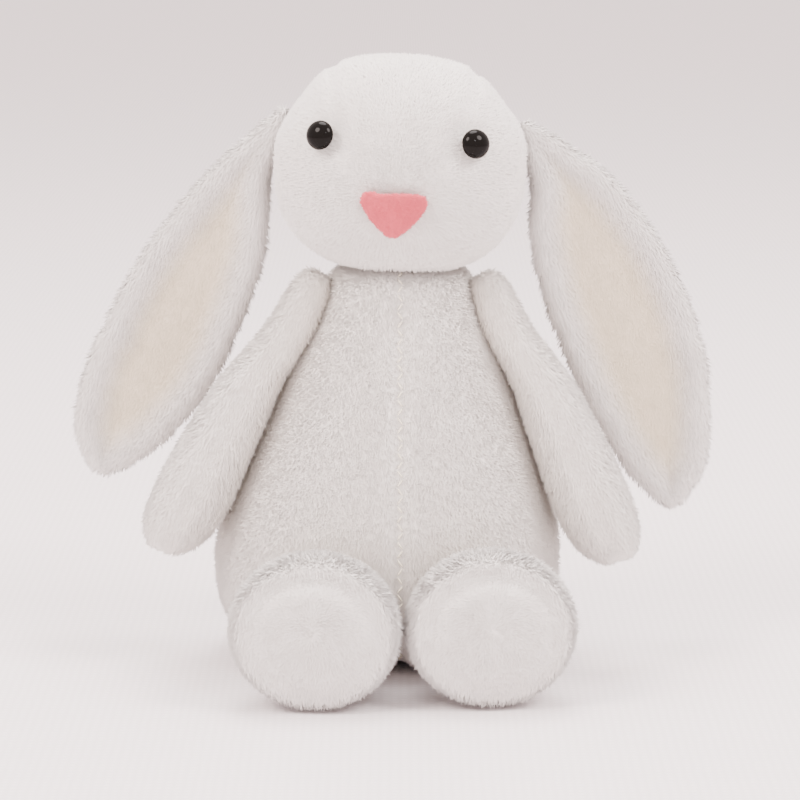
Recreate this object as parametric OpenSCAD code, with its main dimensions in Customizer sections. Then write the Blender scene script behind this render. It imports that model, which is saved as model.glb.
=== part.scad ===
// Sitting plush rabbit, built from its sewn panels, fillings and hardware.
// It faces -Y, its left side is +X, and it sits on the plane Z = 0.

/* [Body] */
// Height of the torso, from the floor to the neck seam
torso_h = 134; // [120:1:160]
// Width of the torso at the hips
torso_w = 122; // [105:1:130]
// Depth of the torso at the hips
torso_d = 94; // [80:1:105]
// Sideways slump of the hips
slump = -4.5; // [-5:0.5:5]
// Diameter of the tail
tail_d = 34; // [26:1:38]

/* [Head] */
// Width of the head
head_w = 88.5; // [80:1:92]
// Height of the head
head_h = 77; // [70:0.5:82]
// Depth of the head
head_d = 76; // [68:1:82]
// Sideways tilt of the head
head_tilt = 3; // [-5:0.5:5]
// Turn of the face to the side
head_turn = -2.5; // [-5:0.5:5]
// Diameter of each safety eye
eye_d = 10; // [8:0.5:12]
// Width of the nose patch
nose_w = 22; // [20:1:28]
// Height of the nose patch
nose_h = 15; // [12:1:18]

/* [Ears] */
// Length of an ear, from its root to its tip
ear_len = 146; // [120:1:150]
// Greatest width of an ear
ear_w = 46; // [36:1:50]
// Thickness of an ear, both panels together
ear_t = 9; // [7:0.5:10]

/* [Arms] */
// Length of an arm
arm_len = 111; // [100:1:114]
// Width of the hand
arm_w = 27; // [24:1:32]
// Thickness of the hand
arm_t = 25; // [20:1:28]

/* [Legs] */
// Length of a leg, from the hip seam to the sole
leg_len = 46; // [38:1:52]
// Width of a foot
foot_w = 58; // [50:1:60]
// Height of a foot
foot_h = 53; // [46:1:58]
// Diameter of the sole disc's seam as a share of the foot
sole_share = 0.8; // [0.7:0.02:0.86]

/* [Sewing] */
// Thickness of the plush panels, pile included
plush_t = 3; // [2:0.5:4]
// Thickness of the seam thread
thread_d = 0.8; // [0.6:0.1:1.2]
// Distance between the zigzag's stitches on the front seam
stitch_step = 6; // [4:0.5:9]

/* [Hidden] */

// Room between two cloths that are sewn together
ease = 0.2;
// Room between a cover and its filling
fill_ease = 0.8;
// Room between two bodies that meet at a sewn joint
joint_gap = 1.1;
// Colours of the cloth, the filling and the hardware
plush_white = "#f7f6f1";
lining_cream = "#f3eedd";
felt_pink = "#f2939c";
eye_black = "#101010";
fibre_white = "#fdfdfd";
thread_white = "#e9e3d0";

// ---- curves and closed sheets ----

// Smooth curve through rows of numbers, t from 0 to 1
function spline(rows, t) =
    let (last = len(rows) - 1)
    let (x = min(max(t, 0), 1) * last)
    let (i = min(floor(x), last - 1))
    let (f = x - i)
    let (b = rows[i])
    let (c = rows[i + 1])
    let (a = i > 0 ? rows[i - 1] : 2 * b - c)
    let (d = i + 2 <= last ? rows[i + 2] : 2 * c - b)
    0.5 * (2 * b + (c - a) * f + (2 * a - 5 * b + 4 * c - d) * f * f
        + (3 * b - a - 3 * c + d) * f * f * f);

function mix(a, b, t) = a + (b - a) * t;

// Two triangles for one cell of a grid with this many points in a row
function cell(k, row, flip) =
    flip ? [[k, k + row, k + 1], [k + 1, k + row, k + row + 1]]
         : [[k, k + 1, k + row], [k + 1, k + row + 1, k + row]];

// The triangles of a grid, counted from its first point
function grid_faces(nu, nv, first, flip) =
    [for (i = [0 : nu - 1], j = [0 : nv - 1])
        each cell(first + i * (nv + 1) + j, nv + 1, flip)];

// The triangles of a wall between two rims, given as lists of point numbers
function wall_faces(rim_a, rim_b) =
    [for (i = [0 : len(rim_a) - 2])
        each [[rim_a[i], rim_b[i], rim_a[i + 1]], [rim_a[i + 1], rim_b[i], rim_b[i + 1]]]];

// The point numbers around the edge of a grid
function rim(nu, nv, first) = concat(
    [for (j = [0 : nv]) first + j],
    [for (i = [1 : nu]) first + i * (nv + 1) + nv],
    [for (j = [1 : nv]) first + nu * (nv + 1) + nv - j],
    [for (i = [1 : nu]) first + (nu - i) * (nv + 1)]);

// A closed panel between two skins. Each skin is a function of (u, v, depth),
// with depth counted inwards from the outside of the cloth.
module panel(skin_at, thick, nu, nv, flip = false, inner = undef) {
    under = is_undef(inner) ? function (u, v) skin_at(u, v, thick) : inner;
    top = [for (i = [0 : nu], j = [0 : nv]) skin_at(i / nu, j / nv, 0)];
    bottom = [for (i = [0 : nu], j = [0 : nv]) under(i / nu, j / nv)];
    count = len(top);
    walls = wall_faces(rim(nu, nv, 0), rim(nu, nv, count));
    faces = concat(
        grid_faces(nu, nv, 0, flip),
        grid_faces(nu, nv, count, !flip),
        flip ? [for (w = walls) [w[0], w[2], w[1]]] : walls);
    polyhedron(concat(top, bottom), faces);
}

// A closed body of rings around the u direction, with a flat end at each end of v
module ringed(skin_at, depth, nu, nv, flip = false, from = 0.02, to = 0.98) {
    rings = [for (j = [0 : nv], i = [0 : nu - 1]) skin_at(i / nu, mix(from, to, j / nv), depth)];
    count = len(rings);
    top = nv * nu;
    middle = function (first) [for (i = [0 : nu - 1]) 1 / nu] * [for (i = [0 : nu - 1]) rings[first + i]];
    band = [for (j = [0 : nv - 1], i = [0 : nu - 1])
        let (a = j * nu + i)
        let (b = j * nu + (i + 1) % nu)
        each [[a, b, a + nu], [b, b + nu, a + nu]]];
    low = [for (i = [0 : nu - 1]) [count, (i + 1) % nu, i]];
    high = [for (i = [0 : nu - 1]) [count + 1, top + i, top + (i + 1) % nu]];
    faces = concat(band, low, high);
    polyhedron(
        concat(rings, [middle(0), middle(top)]),
        flip ? faces : [for (f = faces) [f[0], f[2], f[1]]]);
}

// ---- torso ----

// Share of the height, share of the half width, share of the half depth,
// share of the slump, and shift in Y, from the floor up to the neck
torso_rows = [
    [0.000, 0.00, 0.00, 1.0, 0],
    [0.000, 0.36, 0.36, 1.0, 0],
    [0.035, 0.80, 0.80, 1.0, 0],
    [0.150, 0.975, 0.975, 1.0, -1],
    [0.310, 1.00, 1.00, 1.0, -2],
    [0.460, 0.915, 0.91, 0.7, -1],
    [0.620, 0.765, 0.79, 0.4, 0],
    [0.780, 0.625, 0.68, 0.2, 1],
    [0.905, 0.500, 0.57, 0.0, 2],
    [0.985, 0.390, 0.45, 0.0, 2],
    [1.000, 0.00, 0.00, 0.0, 2]
];
// How much the seat is pressed flat
seat_z = 0;

function torso_at(turn, v, depth) =
    let (row = spline(torso_rows, v))
    let (rx = max(row[1] * torso_w / 2 - depth, 0))
    let (ry = max(row[2] * torso_d / 2 - depth, 0))
    let (middle = torso_h / 2)
    let (z = middle + (row[0] * torso_h - middle) * (1 - 2 * depth / torso_h))
    [slump * row[3] + rx * cos(turn), row[4] + ry * sin(turn), max(z, seat_z)];

// The turn at which the outside of the torso crosses the middle plane X = 0, where its seams run
function seam_turn(v) =
    let (row = spline(torso_rows, v))
    let (half = max(row[1] * torso_w / 2, 4 * abs(slump)))
    acos(-slump * row[3] / half);

// A quarter of the torso's cover, from its side seam to the front (-1) or back (1) seam
module torso_panel(hand, facing) {
    color(plush_white)
    panel(
        function (u, v, d)
            let (v_in = mix(0.004, 0.996, v))
            torso_at(facing * mix(hand > 0 ? 0 : 180, seam_turn(v_in), u), v_in, d),
        plush_t, 7, 16, hand * facing > 0);
}

module torso_front_left() { torso_panel(1, -1); }
module torso_front_right() { torso_panel(-1, -1); }
module torso_back_left() { torso_panel(1, 1); }
module torso_back_right() { torso_panel(-1, 1); }

// Where along the rows the bean pouch begins and ends, and the stuffing above it ends
pouch_from = 0.12;
pouch_to = 0.36;
stuffing_to = 0.97;
// Room between the bean pouch and the cover
pouch_ease = 2;

module torso_filling(from, to, room) {
    ringed(
        function (u, v, d) torso_at(u * 360, v, d), plush_t + room, 24, 8, true, from, to);
}

module bean_pouch() {
    color(thread_white) torso_filling(pouch_from, pouch_to, pouch_ease);
}

module torso_stuffing() {
    color(fibre_white) torso_filling(pouch_to + 0.004, stuffing_to, fill_ease);
}

// Zigzag of the closing stitches up the front seam
seam_from = 0.16;
seam_to = 0.90;
stitch_half_w = 1;
// How far the thread stands off the panels, which are drawn as flat facets
thread_clear = 1.1;

module front_seam_thread() {
    count = round(torso_h * (seam_to - seam_from) / stitch_step);
    points = [for (i = [0 : count])
        let (v = mix(seam_from, seam_to, i / count))
        let (p = torso_at(-seam_turn(v), v, 0))
        p + [i % 2 == 0 ? stitch_half_w : -stitch_half_w, -thread_d - thread_clear, 0]];
    color(thread_white)
    for (i = [0 : count - 1]) {
        run = points[i + 1] - points[i];
        reach = norm(run);
        translate(points[i])
            rotate([0, acos(run[2] / reach), atan2(run[1], run[0])])
            cylinder(d = thread_d, h = reach * 0.96, $fn = 6);
    }
}

// ---- tail ----

tail_z = 34;
// How deep the tail sits in the back
tail_nest = 1.9;
tail_at = torso_d / 2 + tail_d / 2 - tail_nest;

module tail_cover() {
    color(plush_white)
    translate([slump, tail_at, tail_z])
    rotate([90, 0, 0])
    difference() {
        sphere(d = tail_d, $fn = 40);
        sphere(d = tail_d - 2 * plush_t, $fn = 40);
    }
}

module tail_stuffing() {
    color(fibre_white)
    translate([slump, tail_at, tail_z])
    sphere(d = tail_d - 2 * plush_t - 2 * fill_ease, $fn = 40);
}

// ---- head ----

// The middle of the head before it is tilted, and the point it tilts about
head_mid = [-2, -1, torso_h + joint_gap + head_h / 2];
neck = [0, 2, torso_h];
// Roundness of the head: 2 is an ellipsoid, more is squarer
head_round = 2.45;

function signed_pow(x, p) = sign(x) * pow(abs(x), p);

// A point of the head's skin in a direction from its middle
function head_toward(dir, depth) =
    let (half = [head_w / 2 - depth, head_d / 2 - depth, head_h / 2 - depth])
    let (share = pow(abs(dir[0]) / half[0], head_round)
        + pow(abs(dir[1]) / half[1], head_round)
        + pow(abs(dir[2]) / half[2], head_round))
    head_mid + dir * pow(share, -1 / head_round);

// The direction at a side angle towards +X and a turn around the X axis from the face up
function head_dir(side, turn) = [sin(side), -cos(side) * cos(turn), cos(side) * sin(turn)];

// The outward normal at a point of the head's skin
function head_normal(p) =
    let (half = [head_w / 2, head_d / 2, head_h / 2])
    let (q = p - head_mid)
    let (n = [for (k = [0 : 2]) signed_pow(q[k] / half[k], head_round - 1) / half[k]])
    n / norm(n);

// Turns around the head, and the side angle of the gusset's seam at each of them.
// Past the gusset's end the two cheeks meet in the chin seam.
seam_turns = [
    [-8, 17], [4, 22], [16, 28], [40, 34], [64, 37], [100, 38],
    [136, 36], [172, 30], [208, 21], [232, 13], [244, 0.4], [340, 0.4], [352, 17]
];
gusset_from = -8;
gusset_to = 232;
turn_step = 12;

module on_head() {
    translate(neck)
        rotate([0, head_tilt, 0])
        translate(head_mid - neck)
        rotate([0, 0, head_turn])
        translate(-head_mid)
        children();
}

module head_gusset() {
    color(plush_white)
    on_head()
    panel(
        function (u, v, d)
            let (turn = mix(gusset_from, gusset_to, v))
            head_toward(head_dir(mix(-1, 1, u) * lookup(turn, seam_turns), turn), d),
        plush_t, 6, (gusset_to - gusset_from) / turn_step);
}

// A cheek covers one side of the head out to the ear, closed in on the head's side
module cheek(hand) {
    around = 360 / turn_step;
    rows = 7;
    at = function (u, v, d)
        let (turn = gusset_from + v * 360)
        head_toward(head_dir(hand * mix(lookup(turn, seam_turns), 90, u), turn), d);
    sheet = function (d) concat(
        [for (i = [0 : rows - 1], j = [0 : around - 1]) at(i / rows, j / around, d)],
        [at(1, 0, d)]);
    count = rows * around + 1;
    faces = [for (i = [0 : rows - 2], j = [0 : around - 1])
        let (a = i * around + j)
        let (b = i * around + (j + 1) % around)
        each [[a, b, a + around], [b, b + around, a + around]]];
    cap = [for (j = [0 : around - 1])
        [(rows - 1) * around + j, (rows - 1) * around + (j + 1) % around, count - 1]];
    skin = concat(faces, cap);
    walls = [for (j = [0 : around - 1])
        let (a = j)
        let (b = (j + 1) % around)
        each [[b, a, a + count], [b, a + count, b + count]]];
    under = [for (f = skin) [f[0] + count, f[2] + count, f[1] + count]];
    all_faces = concat(skin, under, walls);
    color(plush_white)
    on_head()
    difference() {
        polyhedron(
            concat(sheet(0), sheet(plush_t)),
            hand > 0 ? all_faces : [for (f = all_faces) [f[0], f[2], f[1]]]);
        on_eye(hand)
            translate([0, 0, -2 * plush_t])
            cylinder(d = stem_hole_d, h = 4 * plush_t, $fn = 24);
    }
}

module cheek_left() { cheek(1); }
module cheek_right() { cheek(-1); }

module head_stuffing() {
    color(fibre_white)
    on_head()
    difference() {
        ringed(
            function (u, v, d) head_toward(head_dir(v * 180 - 90, u * 360), d),
            plush_t + fill_ease, 24, 14);
        for (hand = [-1, 1]) {
            on_eye(hand)
                translate([0, 0, -washer_sink - pocket_h])
                cylinder(d = washer_d + 2 * fill_ease, h = pocket_h + plush_t, $fn = 32);
        }
    }
}

// The nose is a felt triangle with round corners, laid over the front of the gusset's end.
// Half widths of the patch as shares, from its top edge down to its point
nose_rows = [[0.92], [1.00], [0.93], [0.79], [0.60], [0.37], [0.11]];
nose_top = -9;
nose_proud = 1.2;
nose_lift = 0.1;

module nose_patch() {
    drop = nose_h / (head_d / 2) * 180 / PI * 1.02;
    half = nose_w / head_d * 180 / PI;
    color(felt_pink)
    on_head()
    panel(
        function (u, v, d)
            head_toward(
                head_dir(mix(-1, 1, u) * half * spline(nose_rows, v)[0], nose_top - v * drop),
                d - nose_proud),
        nose_proud - nose_lift, 8, 12, true);
}

// ---- eyes ----

eye_side = 37;
eye_turn = 19.5;
eye_dome_h = 4.2;
stem_d = 3;
stem_hole_d = 3.3;
stem_len = 9;
washer_d = 13;
washer_t = 1.6;
washer_hub_d = 6.4;
washer_hub_h = 3.6;
// How deep below the plush the washer starts
washer_sink = plush_t + 1.4;
pocket_h = 7;

// Puts +Z along the outward normal at an eye's place
module on_eye(hand) {
    place = head_toward(head_dir(hand * eye_side, eye_turn), 0);
    n = head_normal(place);
    translate(place) rotate([0, acos(n[2]), atan2(n[1], n[0])]) children();
}

// A safety eye: a glossy dome on a short stem
module eye(hand) {
    steps = 10;
    base = 0.1;
    color(eye_black)
    on_head()
    on_eye(hand)
    rotate_extrude($fn = 48)
    polygon(concat(
        [[0, -stem_len], [stem_d / 2 - 0.4, -stem_len], [stem_d / 2, 0.6 - stem_len],
         [stem_d / 2, base], [eye_d / 2 - 0.3, base], [eye_d / 2, base + 0.4]],
        [for (i = [1 : steps])
            let (a = i * 90 / steps)
            [eye_d / 2 * cos(a), base + 0.4 + (eye_dome_h - 0.4) * sin(a)]]));
}

module eye_left() { eye(1); }
module eye_right() { eye(-1); }

// The lock washer that is pressed onto the stem from inside the head
module eye_washer(hand) {
    color("white")
    on_head()
    on_eye(hand)
    translate([0, 0, -washer_sink])
    rotate([180, 0, 0])
    difference() {
        union() {
            cylinder(d = washer_d, h = washer_t, $fn = 40);
            cylinder(d = washer_hub_d, h = washer_hub_h, $fn = 40);
        }
        translate([0, 0, -1]) cylinder(d = stem_d + 0.2, h = washer_hub_h + 2, $fn = 40);
    }
}

module eye_washer_left() { eye_washer(1); }
module eye_washer_right() { eye_washer(-1); }

// ---- ears ----

// The top of the ear's root on the side of the head, before the tilt
ear_root = [head_w / 2 - 1.2, 6, torso_h + 60];
// From root to tip, as shares of the length: the upper edge outwards and down, then the
// lower edge outwards and down. Then the share of the thickness, the shift back in Y,
// and how far the two rims stand forward of the middle. Both ears are cut from the same
// shape; the left one hangs a little higher and wider than the right one.
ear_rows = [
    [
        [0.000, 0.014, 0.024, 0.197, 0.80, 0, 0.0],
        [0.085, 0.049, 0.020, 0.282, 1.00, 2, 1.0],
        [0.218, 0.151, 0.035, 0.370, 1.00, 4, 2.0],
        [0.317, 0.264, 0.067, 0.468, 1.00, 6, 2.6],
        [0.401, 0.401, 0.109, 0.570, 1.00, 8, 2.8],
        [0.465, 0.563, 0.169, 0.690, 1.00, 10, 2.6],
        [0.489, 0.711, 0.236, 0.799, 0.95, 11, 2.0],
        [0.486, 0.838, 0.317, 0.901, 0.85, 12, 1.0],
        [0.437, 0.937, 0.394, 0.958, 0.55, 12, 0.0]
    ],
    [
        [0.000, 0.014, 0.024, 0.197, 0.80, 0, 0.0],
        [0.063, 0.063, 0.017, 0.282, 1.00, 2, 1.0],
        [0.169, 0.183, 0.018, 0.370, 1.00, 4, 2.0],
        [0.254, 0.296, 0.042, 0.479, 1.00, 6, 2.6],
        [0.338, 0.423, 0.081, 0.592, 1.00, 8, 2.8],
        [0.419, 0.592, 0.130, 0.711, 1.00, 10, 2.6],
        [0.465, 0.732, 0.204, 0.817, 0.95, 11, 2.0],
        [0.475, 0.852, 0.296, 0.908, 0.85, 12, 1.0],
        [0.437, 0.937, 0.387, 0.958, 0.55, 12, 0.0]
    ]
];
// Width that the rows are drawn for
ear_rows_w = 46;
// How close to its rim, in degrees of the cross-section, each ear panel stops
ear_edge = 5;

// A point of an ear: across from -1 at the lower edge to 1 at the upper, and through
// from -1 at the back to 1 at the front
function ear_at(hand, v, across, through) =
    let (row = spline(ear_rows[hand > 0 ? 0 : 1], v))
    let (share = ear_w / ear_rows_w * across / 2)
    let (x = (row[0] + row[2]) / 2 + (row[0] - row[2]) * share)
    let (z = (row[1] + row[3]) / 2 + (row[1] - row[3]) * share)
    let (y = row[5] - through * row[4] * ear_t / 2 - row[6] * across * across)
    [head_mid[0] + hand * (ear_root[0] + x * ear_len), ear_root[1] + y, ear_root[2] - z * ear_len];

// One of an ear's two panels, from the face where they meet out to the front or the back
module ear_panel(hand, facing, tint) {
    turn = function (u) mix(ear_edge, 180 - ear_edge, u);
    color(tint)
    on_head()
    panel(
        function (u, v, d)
            ear_at(hand, v, cos(turn(u)), facing * sin(turn(u))),
        0, 9, 16, hand * facing > 0,
        function (u, v)
            ear_at(hand, v, cos(turn(u)), facing * ease / ear_t));
}

module ear_back_left() { ear_panel(1, -1, plush_white); }
module ear_back_right() { ear_panel(-1, -1, plush_white); }
module ear_lining_left() { ear_panel(1, 1, lining_cream); }
module ear_lining_right() { ear_panel(-1, 1, lining_cream); }

// ---- arms ----

shoulder_z = 123;
shoulder_y = -7;
// How far each arm hangs out from straight down: left, then right
arm_spread = [18.5, 23];
// How far both hands hang forward
arm_forward = 11;
// From shoulder to hand: share of the length, shares of the half width and half thickness,
// and how far the middle stands off the torso, as a share of the half width
arm_rows = [
    [0.000, 0.00, 0.00, 0.55],
    [0.012, 0.34, 0.38, 0.55],
    [0.070, 0.54, 0.62, 0.60],
    [0.240, 0.66, 0.76, 0.68],
    [0.440, 0.80, 0.88, 0.82],
    [0.640, 0.94, 0.97, 0.96],
    [0.800, 1.00, 1.00, 1.04],
    [0.915, 0.86, 0.86, 1.14],
    [0.985, 0.45, 0.45, 1.24],
    [1.000, 0.00, 0.00, 1.26]
];
// How far the arm reaches above the shoulder's pivot
arm_over = 13;
// How far the arms are tucked in against the torso, whose side slopes away below them
arm_tuck = 0.7;

// The half width of the torso's side at a height between the hips and the neck
function torso_side(z) =
    lookup(z, [for (i = [40 : 100]) let (p = torso_at(0, i / 100, 0)) [p[2], p[0]]]);
function shoulder(hand) =
    [hand * (torso_side(shoulder_z) + joint_gap - arm_tuck), shoulder_y, shoulder_z];

// A point of an arm in its own frame: +X away from the torso, -Z down the arm
function arm_at(turn, v, depth) =
    let (row = spline(arm_rows, v))
    let (rx = max(row[1] * arm_w / 2 - depth, 0))
    let (ry = max(row[2] * arm_t / 2 - depth, 0))
    let (middle = arm_len / 2)
    let (along = middle + (row[0] * arm_len - middle) * (1 - 2 * depth / arm_len))
    [row[3] * arm_w / 2 + rx * cos(turn), ry * sin(turn), arm_over - along];

module on_arm(hand) {
    spread = hand > 0 ? arm_spread[0] : arm_spread[1];
    translate(shoulder(hand))
        rotate([0, hand > 0 ? -spread : 180 + spread, 0])
        rotate([hand > 0 ? -arm_forward : 180 + arm_forward, 0, 0])
        children();
}

// Half of an arm's cover: the half away from the body, or the one against it
module arm_panel(hand, from) {
    color(plush_white)
    on_arm(hand)
    panel(
        function (u, v, d) arm_at(from + u * 180, mix(0.004, 0.996, v), d),
        plush_t, 8, 14);
}

module arm_stuffing(hand) {
    color(fibre_white)
    on_arm(hand)
    ringed(function (u, v, d) arm_at(u * 360, v, d), plush_t + fill_ease, 16, 12);
}

module arm_outer_left() { arm_panel(1, -90); }
module arm_outer_right() { arm_panel(-1, -90); }
module arm_inner_left() { arm_panel(1, 90); }
module arm_inner_right() { arm_panel(-1, 90); }
module arm_stuffing_left() { arm_stuffing(1); }
module arm_stuffing_right() { arm_stuffing(-1); }

// ---- legs ----

hip_x = 27;
// Both legs sit this far to the left of the middle plane
legs_shift = 1;
// Where along the torso's rows the hips are
hip_row = 0.33;
// How far each foot points outwards
leg_splay = 4;
// From hip to sole: share of the length, shares of the half width and half height
leg_rows = [
    [0.000, 0.00, 0.00],
    [0.035, 0.36, 0.36],
    [0.150, 0.62, 0.62],
    [0.340, 0.82, 0.82],
    [0.560, 0.96, 0.96],
    [0.740, 1.00, 1.00],
    [0.900, 0.92, 0.92],
    [0.965, sole_share, sole_share],
    [0.992, 0.45, 0.45],
    [1.000, 0.00, 0.00]
];
// Where along the rows the cover ends and the sole disc begins
sole_from = 7 / 9;

// A point of a leg in its own frame, with the leg along -Y
function leg_at(turn, v, depth) =
    let (row = spline(leg_rows, v))
    let (rx = max(row[1] * foot_w / 2 - depth, 0))
    let (rz = max(row[2] * foot_h / 2 - depth, 0))
    let (middle = leg_len / 2)
    let (along = middle + (row[0] * leg_len - middle) * (1 - 2 * depth / leg_len))
    [rx * cos(turn), -along, rz * sin(turn)];

// The middle of the leg's end, on the front of the torso
function hip(hand) =
    let (row = spline(torso_rows, hip_row))
    let (x = hand * hip_x + legs_shift)
    let (turn = acos((x - slump * row[3]) / (row[1] * torso_w / 2)))
    [x, row[4] - row[2] * torso_d / 2 * sin(turn) - 1.8 * joint_gap, foot_h / 2 + 0.4];

module on_leg(hand) {
    translate(hip(hand)) rotate([0, 0, hand * leg_splay]) children();
}

// A tube of cloth closed at both rims, between two places along the leg
module leg_tube(hand, from, to, rows) {
    around = 24;
    ring = function (v, d) [for (i = [0 : around - 1]) leg_at(i * 360 / around, v, d)];
    points = concat(
        [for (j = [0 : rows]) each ring(mix(from, to, j / rows), 0)],
        [for (j = [rows : -1 : 0]) each ring(mix(from, to, j / rows), plush_t)]);
    loops = 2 * (rows + 1);
    faces = [for (j = [0 : loops - 1], i = [0 : around - 1])
        let (a = j * around + i)
        let (b = j * around + (i + 1) % around)
        let (c = ((j + 1) % loops) * around + i)
        let (d = ((j + 1) % loops) * around + (i + 1) % around)
        each [[a, c, b], [b, c, d]]];
    color(plush_white) on_leg(hand) polyhedron(points, faces);
}

module leg_cover_left() { leg_tube(1, 0.012, sole_from, 9); }
module leg_cover_right() { leg_tube(-1, 0.012, sole_from, 9); }
module sole_left() { leg_tube(1, sole_from, 0.985, 3); }
module sole_right() { leg_tube(-1, sole_from, 0.985, 3); }

module leg_stuffing(hand) {
    color(fibre_white)
    on_leg(hand)
    ringed(function (u, v, d) leg_at(u * 360, v, d), plush_t + fill_ease, 20, 12, true);
}

module leg_stuffing_left() { leg_stuffing(1); }
module leg_stuffing_right() { leg_stuffing(-1); }

// ---- what is drawn ----

head_gusset();
cheek_left();
cheek_right();
nose_patch();
head_stuffing();
eye_left();
eye_right();
eye_washer_left();
eye_washer_right();
ear_back_left();
ear_back_right();
ear_lining_left();
ear_lining_right();
torso_front_left();
torso_front_right();
torso_back_left();
torso_back_right();
torso_stuffing();
bean_pouch();
front_seam_thread();
tail_cover();
tail_stuffing();
arm_outer_left();
arm_outer_right();
arm_inner_left();
arm_inner_right();
arm_stuffing_left();
arm_stuffing_right();
leg_cover_left();
leg_cover_right();
sole_left();
sole_right();
leg_stuffing_left();
leg_stuffing_right();
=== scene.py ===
# Sitting plush rabbit: its covers with their sewn seams, the pile that grows on them,
# the safety eyes, the felt nose and the closing stitches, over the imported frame.
import math

import bmesh
import bpy
import numpy as np
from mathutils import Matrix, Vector
from mathutils.bvhtree import BVHTree


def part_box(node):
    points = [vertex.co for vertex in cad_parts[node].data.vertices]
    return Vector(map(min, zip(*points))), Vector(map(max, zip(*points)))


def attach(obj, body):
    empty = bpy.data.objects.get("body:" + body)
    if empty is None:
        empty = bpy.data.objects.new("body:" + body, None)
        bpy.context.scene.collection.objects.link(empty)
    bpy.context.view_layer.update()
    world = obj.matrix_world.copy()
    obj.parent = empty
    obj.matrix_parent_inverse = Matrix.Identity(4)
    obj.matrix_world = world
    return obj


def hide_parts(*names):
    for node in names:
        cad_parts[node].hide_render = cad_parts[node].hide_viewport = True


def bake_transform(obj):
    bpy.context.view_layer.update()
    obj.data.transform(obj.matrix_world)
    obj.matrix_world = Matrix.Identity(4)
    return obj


bl_info = {
    "name": "Plush rabbit maker",
    "version": (1, 0, 0),
    "blender": (4, 5, 0),
    "location": "View3D > Sidebar > Rabbit",
    "description": "Makes the covers, pile, face and stitches of a sitting plush rabbit",
    "category": "Object",
}

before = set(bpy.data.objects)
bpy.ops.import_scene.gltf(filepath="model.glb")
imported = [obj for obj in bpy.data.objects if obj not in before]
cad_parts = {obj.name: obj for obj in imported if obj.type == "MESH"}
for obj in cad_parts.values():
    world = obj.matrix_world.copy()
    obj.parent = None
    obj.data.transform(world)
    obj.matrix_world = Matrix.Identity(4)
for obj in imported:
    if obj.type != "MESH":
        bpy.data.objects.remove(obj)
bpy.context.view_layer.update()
MM = 0.001
# size of the soft patches of painted shade in the plush, of its clumps of pile, and width of one tuft
MOTTLE = 9 * MM
CLUMP = 5 * MM
TUFT_WIDTH = 0.6 * MM

HEAD_PANELS = ["head_gusset", "cheek_left", "cheek_right"]
TORSO_PANELS = ["torso_front_left", "torso_front_right", "torso_back_left", "torso_back_right"]


# ---- colours and nodes ----


def linear(hex_colour):
    """An sRGB hex colour as linear red, green, blue and alpha."""
    parts = [int(hex_colour[i : i + 2], 16) / 255 for i in (1, 3, 5)]
    return tuple(p / 12.92 if p <= 0.04045 else ((p + 0.055) / 1.055) ** 2.4 for p in parts) + (1.0,)


def add(tree, kind, inputs=None, **settings):
    """Adds a node with its settings. Each input is a value or the socket that feeds it."""
    node = tree.nodes.new(kind)
    for name, value in settings.items():
        setattr(node, name, value)
    for key, value in (inputs or {}).items():
        if isinstance(value, bpy.types.NodeSocket):
            tree.links.new(value, node.inputs[key])
        else:
            node.inputs[key].default_value = value
    return node


# ---- what a user would change ----


class RabbitPile(bpy.types.PropertyGroup):
    """Lengths and closeness of the pile."""

    head_length: bpy.props.FloatProperty(
        name="Head pile", description="Length of the sheared pile on the head",
        default=1.9 * MM, min=0.5 * MM, max=8 * MM, subtype="DISTANCE", unit="LENGTH")
    body_length: bpy.props.FloatProperty(
        name="Body pile", description="Length of the pile on the torso and tail",
        default=2.2 * MM, min=0.5 * MM, max=10 * MM, subtype="DISTANCE", unit="LENGTH")
    limb_length: bpy.props.FloatProperty(
        name="Limb pile", description="Length of the pile on the arms and feet",
        default=2.6 * MM, min=0.5 * MM, max=12 * MM, subtype="DISTANCE", unit="LENGTH")
    ear_length: bpy.props.FloatProperty(
        name="Ear pile", description="Length of the pile on the backs and rims of the ears",
        default=2.8 * MM, min=0.5 * MM, max=12 * MM, subtype="DISTANCE", unit="LENGTH")
    density: bpy.props.FloatProperty(
        name="Tufts", description="Tufts of pile on a square millimetre of cloth",
        default=2.0, min=0.2, max=6.0)
    seed: bpy.props.IntProperty(
        name="Seed", description="Seed of everything random in the pile", default=7, min=0)


class RabbitColours(bpy.types.PropertyGroup):
    """Colours of the cloth, felt, thread and eyes."""

    plush: bpy.props.FloatVectorProperty(
        name="Plush", description="Colour of the white plush", size=4, subtype="COLOR",
        default=linear("#fbf7f4"), min=0, max=1)
    lining: bpy.props.FloatVectorProperty(
        name="Ear lining", description="Colour of the cream lining of the ears", size=4,
        subtype="COLOR", default=linear("#f7e9cf"), min=0, max=1)
    felt: bpy.props.FloatVectorProperty(
        name="Nose felt", description="Colour of the nose felt", size=4, subtype="COLOR",
        default=linear("#ea6674"), min=0, max=1)
    thread: bpy.props.FloatVectorProperty(
        name="Thread", description="Colour of the seam thread", size=4, subtype="COLOR",
        default=linear("#f1ead8"), min=0, max=1)
    eye: bpy.props.FloatVectorProperty(
        name="Eyes", description="Colour of the eye plastic", size=4, subtype="COLOR",
        default=linear("#0c0a09"), min=0, max=1)


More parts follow.
